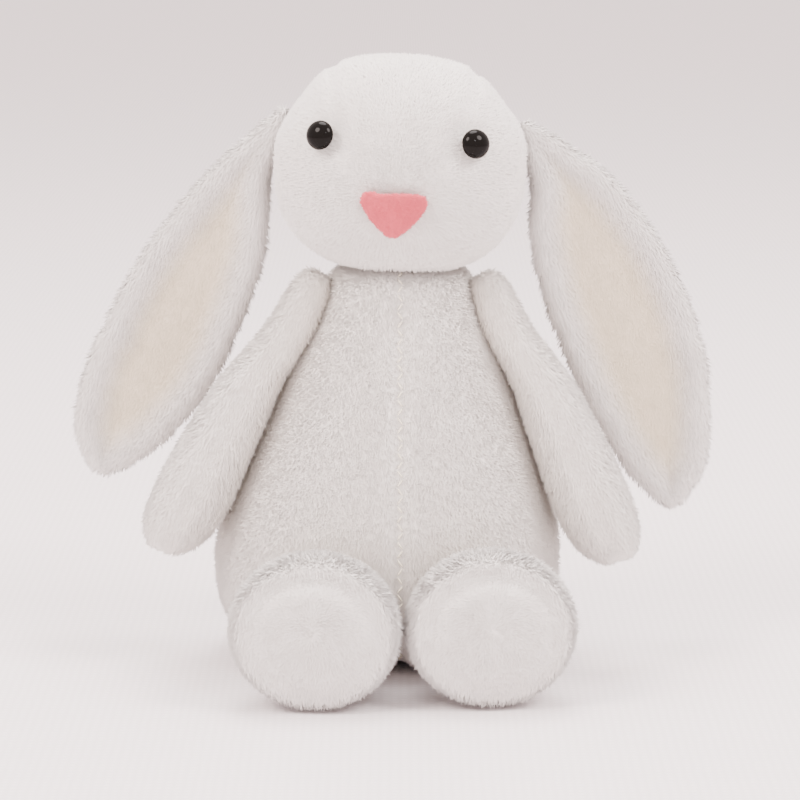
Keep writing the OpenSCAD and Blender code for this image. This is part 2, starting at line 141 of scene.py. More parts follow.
class RabbitSewing(bpy.types.PropertyGroup):
    """Sizes of the seams and stitches."""

    seam_depth: bpy.props.FloatProperty(
        name="Seam depth", description="How deep a seam pulls the cover in",
        default=1.4 * MM, min=0, max=5 * MM, subtype="DISTANCE", unit="LENGTH")
    stitch_pitch: bpy.props.FloatProperty(
        name="Stitch pitch", description="Distance between the stitches of the front seam",
        default=3.0 * MM, min=1 * MM, max=10 * MM, subtype="DISTANCE", unit="LENGTH")
    stitch_length: bpy.props.FloatProperty(
        name="Stitch length", description="Length of one stitch of the front seam",
        default=3.0 * MM, min=1 * MM, max=8 * MM, subtype="DISTANCE", unit="LENGTH")
    thread_width: bpy.props.FloatProperty(
        name="Thread width", description="Thickness of the seam thread",
        default=0.7 * MM, min=0.2 * MM, max=2 * MM, subtype="DISTANCE", unit="LENGTH")
    puff: bpy.props.FloatProperty(
        name="Stuffing pressure", description="Pressure that fills the covers out",
        default=4.0, min=0, max=20)


class RabbitStage(bpy.types.PropertyGroup):
    """Light and camera of the studio."""

    camera_distance: bpy.props.FloatProperty(
        name="Camera distance", description="Distance of the camera from the rabbit",
        default=1.2, min=0.3, max=5, subtype="DISTANCE", unit="LENGTH")
    camera_height: bpy.props.FloatProperty(
        name="Camera elevation", description="Angle of the camera above the horizon",
        default=math.radians(10), min=0, max=math.radians(89), subtype="ANGLE", unit="ROTATION")
    key_power: bpy.props.FloatProperty(
        name="Light", description="Power of each large soft light", default=30.0, min=0, max=500)
    sky: bpy.props.FloatProperty(
        name="Fill", description="Strength of the even light from all sides", default=2.3, min=0, max=10)


# ---- meshes ----


def coords(mesh):
    found = np.empty(len(mesh.vertices) * 3, np.float32)
    mesh.vertices.foreach_get("co", found)
    return found.reshape(-1, 3).astype(float)


def set_coords(mesh, points):
    mesh.vertices.foreach_set("co", points.astype(np.float32).ravel())
    mesh.update()


def normals(mesh):
    found = np.empty(len(mesh.vertices) * 3, np.float32)
    mesh.vertex_normals.foreach_get("vector", found)
    return found.reshape(-1, 3).astype(float)


def set_attribute(mesh, name, values):
    kind = "FLOAT" if values.ndim == 1 else "FLOAT_VECTOR"
    field = "value" if values.ndim == 1 else "vector"
    attribute = mesh.attributes.new(name, kind, "POINT")
    attribute.data.foreach_set(field, values.astype(np.float32).ravel())


def unit(vectors):
    return vectors / np.maximum(np.linalg.norm(vectors, axis=-1, keepdims=True), 1e-12)


def along_cloth(vectors, out):
    """The part of some directions that lies in the cloth, as unit vectors."""
    return unit(vectors - (vectors * out).sum(1)[:, None] * out)


def ramp(x, low, high):
    t = np.clip((x - low) / (high - low), 0, 1)
    return t * t * (3 - 2 * t)


def bell(x, reach):
    """1 where x is 0, falling off smoothly within reach."""
    return np.exp(-((x / reach) ** 2))


def tree_of(nodes):
    """One search tree over some CAD nodes."""
    corners, faces = [], []
    for name in nodes:
        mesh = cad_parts[name].data
        first = len(corners)
        corners += [v.co.copy() for v in mesh.vertices]
        faces += [[first + i for i in p.vertices] for p in mesh.polygons]
    return BVHTree.FromPolygons(corners, faces)


def distance(points, nodes):
    """How far each point is from some CAD nodes."""
    tree = tree_of(nodes)
    return np.array([tree.find_nearest(Vector(p))[3] for p in points])


def seam_distance(points, panels):
    """How far each point of a cover is from the nearest seam between its panels."""
    found = np.sort(np.array([distance(points, [n]) for n in panels]), axis=0)
    return found[1] - found[0]


def object_of(name, mesh):
    made = bpy.data.objects.new(name, mesh)
    bpy.context.scene.collection.objects.link(made)
    return made


def evaluated_mesh(piece):
    return bpy.data.meshes.new_from_object(piece.evaluated_get(bpy.context.evaluated_depsgraph_get()))


def one_closed_cover(name, nodes, voxel):
    """Copies of a cover's sewn panels, run together into one closed skin."""
    bm = bmesh.new()
    for node in nodes:
        bm.from_mesh(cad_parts[node].data)
    bmesh.ops.remove_doubles(bm, verts=bm.verts, dist=1e-6)
    mesh = bpy.data.meshes.new(name)
    bm.to_mesh(mesh)
    bm.free()
    rough = object_of(name + " rough", mesh)
    remesh = rough.modifiers.new("one skin", "REMESH")
    remesh.mode = "VOXEL"
    remesh.voxel_size = voxel
    made = object_of(name, evaluated_mesh(rough))
    bpy.data.objects.remove(rough)
    keep_largest(made.data)
    return made


def keep_largest(mesh):
    """Drops every island of a mesh except the largest."""
    bm = bmesh.new()
    bm.from_mesh(mesh)
    islands, seen = [], set()
    for first in bm.verts:
        if first in seen:
            continue
        seen.add(first)
        island, todo = [], [first]
        while todo:
            v = todo.pop()
            island.append(v)
            for e in v.link_edges:
                w = e.other_vert(v)
                if w not in seen:
                    seen.add(w)
                    todo.append(w)
        islands.append(island)
    islands.sort(key=len)
    for island in islands[:-1]:
        bmesh.ops.delete(bm, geom=island, context="VERTS")
    bm.to_mesh(mesh)
    bm.free()


def smoothed(mesh, rounds):
    """Relaxes a skin a few times."""
    bm = bmesh.new()
    bm.from_mesh(mesh)
    for i in range(rounds):
        bmesh.ops.smooth_vert(
            bm, verts=bm.verts, factor=0.5, use_axis_x=True, use_axis_y=True, use_axis_z=True)
    bm.to_mesh(mesh)
    bm.free()
    mesh.update()


def evened(mesh, values, rounds):
    """Averages a value of each point with its neighbours' a few times."""
    ends = np.empty(len(mesh.edges) * 2, np.int32)
    mesh.edges.foreach_get("vertices", ends)
    one, other = ends.reshape(-1, 2).T
    count = np.bincount(one, minlength=len(values)) + np.bincount(other, minlength=len(values))
    for step in range(rounds):
        total = np.bincount(one, values[other], len(values)) + np.bincount(other, values[one], len(values))
        values = 0.4 * values + 0.6 * total / np.maximum(count, 1)
    return values


def drawn_to(piece, nodes, inset, evening):
    """Brings a skin to a depth under the outside of its panels, without taking over their facets."""
    tree = tree_of(nodes)
    reach = 12 * MM
    for rounds in evening:
        points, out = coords(piece.data), normals(piece.data)
        under = np.full(len(points), np.nan)
        for i, (p, n) in enumerate(zip(points, out)):
            hit = tree.ray_cast(Vector(p + n * reach), Vector(-n), 2 * reach)
            if hit[0] is not None:
                under[i] = reach - hit[3]
        known = np.nan_to_num(under, nan=float(np.nanmedian(under)))
        move = evened(piece.data, np.clip(known, -6 * MM, 9 * MM) - inset, rounds)
        set_coords(piece.data, points + out * move[:, None])


def puffed(piece, seams, pressure, most):
    """Fills a cover out by cloth simulation, held at its seams, with no point moving further than most."""
    if pressure == 0:
        return
    rest = coords(piece.data)
    group = piece.vertex_groups.new(name="seams")
    for i in np.nonzero(seams > 0.05)[0]:
        group.add([int(i)], float(min(seams[i], 1)), "REPLACE")
    cloth = piece.modifiers.new("stuffing", "CLOTH")
    cloth.settings.quality = 4
    cloth.settings.mass = 0.2
    cloth.settings.tension_stiffness = 12
    cloth.settings.compression_stiffness = 12
    cloth.settings.use_pressure = True
    cloth.settings.uniform_pressure_force = pressure
    cloth.settings.effector_weights.gravity = 0
    cloth.settings.vertex_group_mass = "seams"
    cloth.collision_settings.use_collision = False
    for step in range(1, 21):
        bpy.context.scene.frame_set(step)
    blown = evaluated_mesh(piece)
    move = coords(blown) - rest
    piece.modifiers.remove(cloth)
    piece.vertex_groups.clear()
    reach = np.linalg.norm(move, axis=1, keepdims=True)
    set_coords(piece.data, rest + move * np.minimum(1, most / np.maximum(reach, 1e-9)))
    bpy.data.meshes.remove(blown)
    bpy.context.scene.frame_set(1)


def subdivided(piece):
    """One level of subdivision, applied."""
    finer = piece.modifiers.new("finer", "SUBSURF")
    finer.levels = finer.render_levels = 1
    fine = evaluated_mesh(piece)
    piece.modifiers.remove(finer)
    piece.data = fine
    fine.shade_smooth()


def stuffed_cover(name, nodes, panels, inset, voxel=3.2 * MM, puff=1.5 * MM, evening=(8, 6, 4, 3, 2)):
    """A stuffed cover: one closed skin, drawn in, filled out between its seams and made finer."""
    piece = one_closed_cover(name, nodes, voxel)
    smoothed(piece.data, 5)
    points = coords(piece.data)
    gap = seam_distance(points, panels) if len(panels) > 1 else np.full(len(points), 1.0)
    drawn_to(piece, nodes, inset + puff * 0.6, evening)
    puffed(piece, bell(gap, 3 * MM), bpy.context.scene.rabbit_sewing.puff, puff)
    smoothed(piece.data, 1)
    subdivided(piece)
    settle(piece, nodes, inset)
    return piece


def settle(piece, nodes, inset):
    """Moves a whole skin in or out, evenly, until it lies at its depth under the panels on average."""
    tree = tree_of(nodes)
    points, out = coords(piece.data), normals(piece.data)
    reach = 12 * MM
    under = []
    for p, n in zip(points[::7], out[::7]):
        hit = tree.ray_cast(Vector(p + n * reach), Vector(-n), 2 * reach)
        if hit[0] is not None:
            under.append(reach - hit[3])
    set_coords(piece.data, points + out * (float(np.median(under)) - inset))


def groove(piece, gap, depth, width):
    """Draws a cover in along its seams."""
    points, out = coords(piece.data), normals(piece.data)
    set_coords(piece.data, points - out * (depth * bell(gap, width))[:, None])


# ---- materials ----


def empty_material(name):
    """A material and its empty node tree."""
    material = bpy.data.materials.new(name)
    material.use_nodes = True
    material.node_tree.nodes.clear()
    return material, material.node_tree


def plush_cloth(name, mottle):
    """Knitted polyester plush, sheared and brushed. The pile catches light evenly, its roots are painted
    a little darker than its tips as painted shade among the tufts, each tuft has its own random tone,
    and soft patches of painted shade show where it parts or lies another way. The cream attribute runs
    from the white plush to the cream lining, and close to neighbouring parts it carries painted crease
    shade."""
    colours = bpy.context.scene.rabbit_colours
    material, tree = empty_material(name)
    place = add(tree, "ShaderNodeTexCoord")
    tint = add(tree, "ShaderNodeAttribute", attribute_name="tint")
    shade = add(tree, "ShaderNodeAttribute", attribute_name="shade")
    height = add(tree, "ShaderNodeAttribute", attribute_name="along")
    # painted shade in patches a few millimetres across, where the pile parts or was brushed another way
    nap_shade_patch = add(tree, "ShaderNodeTexNoise", {"Vector": place.outputs["Object"], "Scale": 1 / mottle,
                                             "Detail": 3.0, "Roughness": 0.55})
    # white to cream: the real cream of the ear lining, and painted cream shade in the creases where parts
    # meet
    base = add(tree, "ShaderNodeMix", {"Factor": tint.outputs["Fac"], 6: tuple(colours.plush),
                                       7: tuple(colours.lining)}, data_type="RGBA")
    # the patches of painted shade darken the plush by up to 4.5%
    light = add(tree, "ShaderNodeMapRange", {"Value": nap_shade_patch.outputs["Fac"], "From Min": 0.3,
                                             "From Max": 0.7, "To Min": 0.955, "To Max": 1.0})
    tuft = add(tree, "ShaderNodeMapRange", {"Value": shade.outputs["Fac"], "To Min": 0.96, "To Max": 1.0})
    # painted shade among the tufts: the roots are painted 7% darker than the tips
    root = add(tree, "ShaderNodeMapRange", {"Value": height.outputs["Fac"], "To Min": 0.93, "To Max": 1.0})
    both = add(tree, "ShaderNodeMath", {0: light.outputs["Result"], 1: tuft.outputs["Result"]},
               operation="MULTIPLY")
    whole = add(tree, "ShaderNodeMath", {0: both.outputs[0], 1: root.outputs["Result"]},
                operation="MULTIPLY")
    colour = add(tree, "ShaderNodeVectorMath", {0: base.outputs[2], "Scale": whole.outputs[0]},
                 operation="SCALE")
    shader = add(tree, "ShaderNodeBsdfPrincipled", {
        "Base Color": colour.outputs["Vector"], "Roughness": 0.9, "Specular IOR Level": 0.15,
        "Sheen Weight": 0.25, "Sheen Roughness": 0.45})
    add(tree, "ShaderNodeOutputMaterial", {"Surface": shader.outputs["BSDF"]})
    return material


def nose_felt():
    """Pressed wool felt with a short brushed nap: matt, slightly uneven in colour."""
    material, tree = empty_material("pressed pink felt")
    place = add(tree, "ShaderNodeTexCoord")
    fibre = add(tree, "ShaderNodeTexNoise", {"Vector": place.outputs["Object"], "Scale": 1 / (0.9 * MM),
                                             "Detail": 3.0, "Roughness": 0.6})
    felt = bpy.context.scene.rabbit_colours.felt
    colour = add(tree, "ShaderNodeMix", {"Factor": fibre.outputs["Fac"],
                                         6: tuple([c * 0.86 for c in felt[:3]] + [1]),
                                         7: tuple([min(c * 1.1, 1) for c in felt[:3]] + [1])},
                 data_type="RGBA")
    bump = add(tree, "ShaderNodeBump", {"Height": fibre.outputs["Fac"], "Strength": 0.4,
                                        "Distance": 0.2 * MM})
    shader = add(tree, "ShaderNodeBsdfPrincipled", {
        "Base Color": colour.outputs[2], "Roughness": 0.92, "Specular IOR Level": 0.15,
        "Sheen Weight": 0.3, "Sheen Roughness": 0.5, "Normal": bump.outputs["Normal"]})
    add(tree, "ShaderNodeOutputMaterial", {"Surface": shader.outputs["BSDF"]})
    return material


def eye_acrylic():
    """Moulded black acrylic: a deep gloss with clean, small highlights and a faint ripple
    from the mould in its roughness."""
    material, tree = empty_material("moulded black acrylic")
    place = add(tree, "ShaderNodeTexCoord")
    ripple = add(tree, "ShaderNodeTexNoise", {"Vector": place.outputs["Object"], "Scale": 1 / (1.5 * MM)})
    rough = add(tree, "ShaderNodeMapRange", {
        "Value": ripple.outputs["Fac"], "To Min": 0.02, "To Max": 0.07})
    shader = add(tree, "ShaderNodeBsdfPrincipled", {
        "Base Color": tuple(bpy.context.scene.rabbit_colours.eye), "Roughness": rough.outputs["Result"],
        "IOR": 1.49, "Specular IOR Level": 0.09})
    add(tree, "ShaderNodeOutputMaterial", {"Surface": shader.outputs["BSDF"]})
    return material


def cotton_thread():
    """Twisted cotton thread: matt, with the twist as a fine diagonal shade."""
    material, tree = empty_material("twisted cotton thread")
    place = add(tree, "ShaderNodeTexCoord")
    twist = add(tree, "ShaderNodeTexWave", {"Vector": place.outputs["Object"], "Scale": 1 / (2.2 * MM),
                                            "Distortion": 0.5}, bands_direction="DIAGONAL")
    thread = bpy.context.scene.rabbit_colours.thread
    colour = add(tree, "ShaderNodeMix", {"Factor": twist.outputs["Fac"],
                                         6: tuple([c * 0.82 for c in thread[:3]] + [1]), 7: tuple(thread)},
                 data_type="RGBA")
    shader = add(tree, "ShaderNodeBsdfPrincipled", {
        "Base Color": colour.outputs[2], "Roughness": 0.8, "Specular IOR Level": 0.2})
    add(tree, "ShaderNodeOutputMaterial", {"Surface": shader.outputs["BSDF"]})
    return material


def table_linen():
    """Plain woven cotton cloth laid flat: pale, matt, with its weave as a fine relief."""
    material, tree = empty_material("plain woven table cotton")
    place = add(tree, "ShaderNodeTexCoord")
    # threads 0.6 mm apart, drawn 1.6 mm apart so that they show
    per_turn = 1 / (1.6 * MM) / 6.28
    warp = add(tree, "ShaderNodeTexWave", {"Vector": place.outputs["Object"], "Scale": per_turn,
                                           "Distortion": 1.2, "Detail": 2.0}, bands_direction="X")
    weft = add(tree, "ShaderNodeTexWave", {"Vector": place.outputs["Object"], "Scale": per_turn,
                                           "Distortion": 1.2, "Detail": 2.0}, bands_direction="Y")
    weave = add(tree, "ShaderNodeMath", {0: warp.outputs["Fac"], 1: weft.outputs["Fac"]},
                operation="MULTIPLY")
    colour = add(tree, "ShaderNodeMix", {"Factor": weave.outputs[0], 6: linear("#eae4e6"),
                                         7: linear("#f3eef0")}, data_type="RGBA")
    bump = add(tree, "ShaderNodeBump", {"Height": weave.outputs[0], "Strength": 0.25,
                                        "Distance": 0.25 * MM})
    shader = add(tree, "ShaderNodeBsdfPrincipled", {
        "Base Color": colour.outputs[2], "Roughness": 0.9, "Specular IOR Level": 0.2,
        "Normal": bump.outputs["Normal"]})
    add(tree, "ShaderNodeOutputMaterial", {"Surface": shader.outputs["BSDF"]})
    return material


def white_plush():
    """The plush that every cover shares, made once."""
    name = "brushed polyester plush"
    return bpy.data.materials.get(name) or plush_cloth(name, MOTTLE)


def covered(piece, material):
    """Gives a piece one material in place of what it has."""
    piece.data.materials.clear()
    piece.data.materials.append(material)


# ---- the pile ----

PILE_INPUTS = [
    ("Tufts per area", "NodeSocketFloat", 2e6),
    ("Length", "NodeSocketFloat", 3 * MM),
    ("Width", "NodeSocketFloat", 0.7 * MM),
    ("Stand", "NodeSocketFloat", 0.7),
    ("Scatter", "NodeSocketFloat", 0.35),
    ("Clump size", "NodeSocketFloat", 4 * MM),
    ("Clump lean", "NodeSocketFloat", 0.8),
    ("Bend", "NodeSocketFloat", 0.2),
    ("Rings", "NodeSocketInt", 1),
    ("Seed", "NodeSocketInt", 7),
    ("Material", "NodeSocketMaterial", None),
]


def pile_tree():
    """Geometry nodes that grow pile on a skin. The skin carries what changes from place to place:
    pile, the share of the length; comb, the way it is brushed; grow, where there is any."""
    found = bpy.data.node_groups.get("plush pile")
    if found:
        return found
    tree = bpy.data.node_groups.new("plush pile", "GeometryNodeTree")
    tree.interface.new_socket("Skin", in_out="INPUT", socket_type="NodeSocketGeometry")
    for name, kind, value in PILE_INPUTS:
        made = tree.interface.new_socket(name, in_out="INPUT", socket_type=kind)
        if value is not None:
            made.default_value = value
    tree.interface.new_socket("Pile", in_out="OUTPUT", socket_type="NodeSocketGeometry")
    given = add(tree, "NodeGroupInput").outputs
    grow = add(tree, "GeometryNodeInputNamedAttribute", {"Name": "grow"}, data_type="FLOAT")
    share = add(tree, "GeometryNodeInputNamedAttribute", {"Name": "pile"}, data_type="FLOAT")
    comb = add(tree, "GeometryNodeInputNamedAttribute", {"Name": "comb"}, data_type="FLOAT_VECTOR")
    density = add(tree, "ShaderNodeMath", {0: given["Tufts per area"], 1: grow.outputs[0]},
                  operation="MULTIPLY")
    spots = add(tree, "GeometryNodeDistributePointsOnFaces", {
        "Mesh": given["Skin"], "Density": density.outputs[0], "Seed": given["Seed"]})
    out = spots.outputs["Normal"]
    # the way a tuft leans: its stand, its comb, its clump's lean and its own scatter
    stand = add(tree, "ShaderNodeVectorMath", {0: out, "Scale": given["Stand"]}, operation="SCALE")
    upright = add(tree, "ShaderNodeVectorMath", {0: stand.outputs[0], 1: comb.outputs[0]}, operation="ADD")
    where = add(tree, "GeometryNodeInputPosition")
    finer = add(tree, "ShaderNodeMath", {0: 1.0, 1: given["Clump size"]}, operation="DIVIDE")
    clump = add(tree, "ShaderNodeTexNoise", {"Vector": where.outputs[0], "Scale": finer.outputs[0],
                                             "Detail": 2.0, "Roughness": 0.6})
    centred = add(tree, "ShaderNodeVectorMath", {0: clump.outputs["Color"], 1: (0.5, 0.5, 0.5)},
                  operation="SUBTRACT")
    lean = add(tree, "ShaderNodeVectorMath", {0: centred.outputs[0], "Scale": given["Clump lean"]},
               operation="SCALE")
    clumped = add(tree, "ShaderNodeVectorMath", {0: upright.outputs[0], 1: lean.outputs[0]},
                  operation="ADD")
    loose = add(tree, "FunctionNodeRandomValue", {0: (-1, -1, -1), 1: (1, 1, 1), "Seed": given["Seed"]},
                data_type="FLOAT_VECTOR")
    own = add(tree, "ShaderNodeVectorMath", {0: loose.outputs[0], "Scale": given["Scatter"]},
              operation="SCALE")
    way = add(tree, "ShaderNodeVectorMath", {0: clumped.outputs[0], 1: own.outputs[0]}, operation="ADD")
    turned = add(tree, "FunctionNodeAxesToRotation", {"Primary Axis": way.outputs[0],
                                                      "Secondary Axis": comb.outputs[0]},
                 primary_axis="Z", secondary_axis="X")
    # a tuft: three-sided, closed, tapering to a point and bent over
    spike = add(tree, "GeometryNodeMeshCone", {"Vertices": 3, "Side Segments": given["Rings"],
                                               "Radius Top": 0.0, "Radius Bottom": 0.5, "Depth": 1.0},
                fill_type="NGON")
    at = add(tree, "ShaderNodeSeparateXYZ", {0: where.outputs[0]})
    square = add(tree, "ShaderNodeMath", {0: at.outputs["Z"], 1: at.outputs["Z"]}, operation="MULTIPLY")
    bent = add(tree, "ShaderNodeMath", {0: square.outputs[0], 1: given["Bend"]}, operation="MULTIPLY")
    shift = add(tree, "ShaderNodeCombineXYZ", {"X": bent.outputs[0]})
    tuft = add(tree, "GeometryNodeSetPosition", {
        "Geometry": spike.outputs["Mesh"], "Offset": shift.outputs[0]})
    marked = add(tree, "GeometryNodeStoreNamedAttribute", {
        "Geometry": tuft.outputs[0], "Name": "along", "Value": at.outputs["Z"]},
        data_type="FLOAT", domain="POINT")
    # length and width of each tuft
    varied = add(tree, "FunctionNodeRandomValue", {2: 0.7, 3: 1.2, "Seed": given["Seed"]},
                 data_type="FLOAT")
    long = add(tree, "ShaderNodeMath", {0: given["Length"], 1: share.outputs[0]}, operation="MULTIPLY")
    longer = add(tree, "ShaderNodeMath", {0: long.outputs[0], 1: varied.outputs[1]}, operation="MULTIPLY")
    size = add(tree, "ShaderNodeCombineXYZ", {"X": given["Width"], "Y": given["Width"],
                                              "Z": longer.outputs[0]})
    tone = add(tree, "FunctionNodeRandomValue", {2: 0.0, 3: 1.0, "Seed": given["Seed"]}, data_type="FLOAT")
    toned = add(tree, "GeometryNodeStoreNamedAttribute", {
        "Geometry": spots.outputs["Points"], "Name": "shade", "Value": tone.outputs[1]},
        data_type="FLOAT", domain="POINT")
    faced = add(tree, "GeometryNodeStoreNamedAttribute", {
        "Geometry": toned.outputs[0], "Name": "skin_normal", "Value": out},
        data_type="FLOAT_VECTOR", domain="POINT")
    grown = add(tree, "GeometryNodeInstanceOnPoints", {
        "Points": faced.outputs[0], "Instance": marked.outputs[0], "Rotation": turned.outputs[0],
        "Scale": size.outputs[0]})
    real = add(tree, "GeometryNodeRealizeInstances", {"Geometry": grown.outputs[0]})
    painted = add(tree, "GeometryNodeSetMaterial", {
        "Geometry": real.outputs[0], "Material": given["Material"]})
    add(tree, "NodeGroupOutput", {"Pile": painted.outputs[0]})
    return tree


def grown_pile(name, skin, material, grow, softness=0.85, **values):
    """The pile of a skin, or of the part of it where grow is above 0, as a plain mesh piece."""
    settings = {"Seed": bpy.context.scene.rabbit_pile.seed, "Material": material,
                "Tufts per area": bpy.context.scene.rabbit_pile.density * 1e6}
    settings.update({key.replace("_", " ").capitalize(): value for key, value in values.items()})
    settings["Tufts per area"] = settings["Tufts per area"] * 1
    under = object_of(name + " skin", skin.data.copy())
    set_attribute(under.data, "grow", grow)
    tree = pile_tree()
    growing = under.modifiers.new("pile", "NODES")
    growing.node_group = tree
    for key, value in settings.items():
        growing[tree.interface.items_tree[key].identifier] = value
    pile = evaluated_mesh(under)
    bpy.data.objects.remove(under)
    # the light falls on the pile as on the cloth below it, so each tuft's normal leans to the cloth's
    facing = np.empty(len(pile.vertices) * 3, np.float32)
    pile.attributes["skin_normal"].data.foreach_get("vector", facing)
    soft = unit(normals(pile) * (1 - softness) + facing.reshape(-1, 3) * softness)
    for extra in ("skin_normal", "comb", "pile", "grow"):
        if extra in pile.attributes:
            pile.attributes.remove(pile.attributes[extra])
    pile.shade_smooth()
    pile.normals_split_custom_set_from_vertices(soft.astype(np.float32))
    return object_of(name, pile)


def dressed(skin, length_share, comb, tint):
    """Gives a skin what its pile and its colour follow."""
    mesh = skin.data
    set_attribute(mesh, "pile", length_share)
    set_attribute(mesh, "comb", comb)
    # the cream of the lining, with painted crease shade close to neighbouring parts
    set_attribute(mesh, "tint", tint)
    set_attribute(mesh, "shade", np.full(len(mesh.vertices), 0.5))
    # the bare cloth, at along 0, takes the painted root shade of the pile
    set_attribute(mesh, "along", np.zeros(len(mesh.vertices)))
    mesh.shade_smooth()


# ---- operators ----


class RABBIT_OT_stage(bpy.types.Operator):
    """Lays the table cloth, hangs the soft lights and sets the camera"""

    bl_idname = "rabbit.stage"
    bl_label = "Studio stage"

    def execute(self, context):
        stage = context.scene.rabbit_stage
        bm = bmesh.new()
        bmesh.ops.create_grid(bm, x_segments=1, y_segments=1, size=14)
        mesh = bpy.data.meshes.new("table_cloth")
        bm.to_mesh(mesh)
        bm.free()
        floor = object_of("table_cloth", mesh)
        mesh.materials.append(table_linen())
        camera = bpy.data.objects.new("camera", bpy.data.cameras.new("camera"))
        context.scene.collection.objects.link(camera)
        camera.data.sensor_width = 36
        camera.data.lens = 153.8
        camera.data.clip_start = 0.01
        target = Vector((0, 0, 0.0903))
        back = Vector((0, -math.cos(stage.camera_height), math.sin(stage.camera_height)))
        camera.location = target + back * stage.camera_distance
        camera.rotation_mode = "QUATERNION"
        camera.rotation_quaternion = (-back).to_track_quat("-Z", "Y")
        context.scene.camera = camera
        for name, at, size, share, colour in (
            ("light_left", (-0.9, -0.75, 1.15), 0.7, 1.0, "#fff1ea"),
            ("light_right", (0.95, -0.6, 1.15), 0.7, 0.9, "#fff4f0"),
            ("light_top", (0.0, 0.3, 1.5), 0.9, 1.0, "#fff8f6"),
            ("light_sparkle", (0.35, -1.0, 0.75), 0.07, 0.06, "#ffffff"),
        ):
            light = bpy.data.objects.new(name, bpy.data.lights.new(name, "AREA"))
            context.scene.collection.objects.link(light)
            light.data.shape = "DISK"
            light.data.size = size
            light.data.energy = stage.key_power * share
            light.data.color = linear(colour)[:3]
            light.location = at
            light.rotation_mode = "QUATERNION"
            light.rotation_quaternion = (Vector((0, 0, 0.1)) - Vector(at)).to_track_quat("-Z", "Y")
        world = bpy.data.worlds.new("studio")
        world.use_nodes = True
        world.node_tree.nodes.clear()
        sky = add(world.node_tree, "ShaderNodeBackground", {
            "Color": linear("#ffeeea"), "Strength": stage.sky})
        add(world.node_tree, "ShaderNodeOutputWorld", {"Surface": sky.outputs[0]})
        context.scene.world = world
        return {"FINISHED"}


class RABBIT_OT_head(bpy.types.Operator):
    """Makes the head's cover from its gusset and two cheeks, and its short sheared pile"""

    bl_idname = "rabbit.head"
    bl_label = "Head cover and pile"

    def execute(self, context):
        sewing, pile = context.scene.rabbit_sewing, context.scene.rabbit_pile
        head = stuffed_cover("head_cover", HEAD_PANELS, HEAD_PANELS, 1.7 * MM, evening=(12, 10, 10))
        points = coords(head.data)
        gap = seam_distance(points, HEAD_PANELS)
        # the seam under the chin lies flat against the neck
        gap = gap + 0.1 * ramp(-points[:, 2], -144 * MM, -138 * MM)
        groove(head, gap, sewing.seam_depth * 0.4, 1.5 * MM)
        points = coords(head.data)
        low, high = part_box("head_gusset")
        aside = points[:, 0] - (low.x + high.x) / 2
        # the filling leaves the corners beside the crown slack and round
        slack = ramp(points[:, 2], 181 * MM, 198 * MM) * ramp(np.abs(aside), 18 * MM, 38 * MM)
        points[:, 0] -= np.sign(aside) * slack * 3.5 * MM
        set_coords(head.data, points)
        out = normals(head.data)
        eyes = distance(points, ["eye_left", "eye_right"])
        nose = distance(points, ["nose_patch"])
        # the eyes and the nose are drawn in by their fixings
        sunk = 1.6 * MM * bell(eyes, 5 * MM) + 0.5 * MM * bell(nose, 3 * MM)
        points = points - out * sunk[:, None]
        set_coords(head.data, points)
        low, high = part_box("nose_patch")
        tip = np.array((low + high) / 2)
        comb = along_cloth(points - tip, out) * 0.55 + along_cloth(
            np.tile((0, 0.3, -1.0), (len(points), 1)), out) * 0.25
        share = 1 - 0.3 * bell(gap, 1.5 * MM)
        dressed(head, share, comb, np.full(len(points), 0.05))
        white = white_plush()
        covered(head, white)
        bare = np.where((eyes < 0.5 * MM) | (nose < 0.6 * MM), 0.0, 1.0)
        fur = grown_pile("head_pile", head, white, bare, length=pile.head_length, width=TUFT_WIDTH,
                         tufts_per_area=pile.density * 1.15e6, clump_size=CLUMP, clump_lean=0.7,
                         scatter=0.3, stand=0.75)
        for piece in (head, fur):
            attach(piece, "head")
        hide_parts("head_stuffing", "eye_washer_left", "eye_washer_right", *HEAD_PANELS)
        return {"FINISHED"}


class RABBIT_OT_face(bpy.types.Operator):
    """Makes the two domed safety eyes and the felt nose"""

    bl_idname = "rabbit.face"
    bl_label = "Eyes and nose"

    def execute(self, context):
        acrylic = eye_acrylic()
        middle = np.array(sum(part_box("head_gusset"), Vector())) / 2
        for node in ("eye_left", "eye_right"):
            solid = coords(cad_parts[node].data)
            centre = solid.mean(0)
            values, vectors = np.linalg.eigh(np.cov((solid - centre).T))
            # the dome turns about the one direction in which it differs from the other two
            lone = 0 if values[1] - values[0] > values[2] - values[1] else 2
            axis = vectors[:, lone]
            axis = axis * np.sign(axis @ (centre - middle))
            reach = (solid - centre) @ axis
            across = np.linalg.norm((solid - centre) - reach[:, None] * axis, axis=1)
            radius = across.max()
            rim = reach[across > radius * 0.97].min()
            profile = [(-0.5 * MM, radius * 0.90), (0, radius * 0.97)]
            rise = reach.max() - rim
            turns = np.linspace(0.06, math.pi / 2 - 0.08, 14)
            profile += [(rise * math.sin(a), radius * math.cos(a)) for a in turns]
            name = node + "_dome"
            piece = object_of(name, turned_mesh(name, centre + rim * axis, axis, profile, 48))
            piece.data.materials.append(acrylic)
            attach(piece, "head")
            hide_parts(node)
        nose = one_closed_cover("nose_felt", ["nose_patch"], 0.7 * MM)
        smoothed(nose.data, 4)
        subdivided(nose)
        points, out = coords(nose.data), normals(nose.data)
        low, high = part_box("nose_patch")
        tip = np.array((low + high) / 2)
        comb = along_cloth(points - tip, out) * 0.5
        dressed(nose, np.ones(len(points)), comb, np.zeros(len(points)))
        felt = nose_felt()
        covered(nose, felt)
        front = (out[:, 1] < 0.35).astype(float)
        nap = grown_pile("nose_nap", nose, felt, front, length=0.75 * MM, width=0.42 * MM,
                         tufts_per_area=14e6, clump_size=2 * MM, clump_lean=0.6, scatter=0.45, stand=0.8)
        for piece in (nose, nap):
            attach(piece, "head")
        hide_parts("nose_patch")
        return {"FINISHED"}


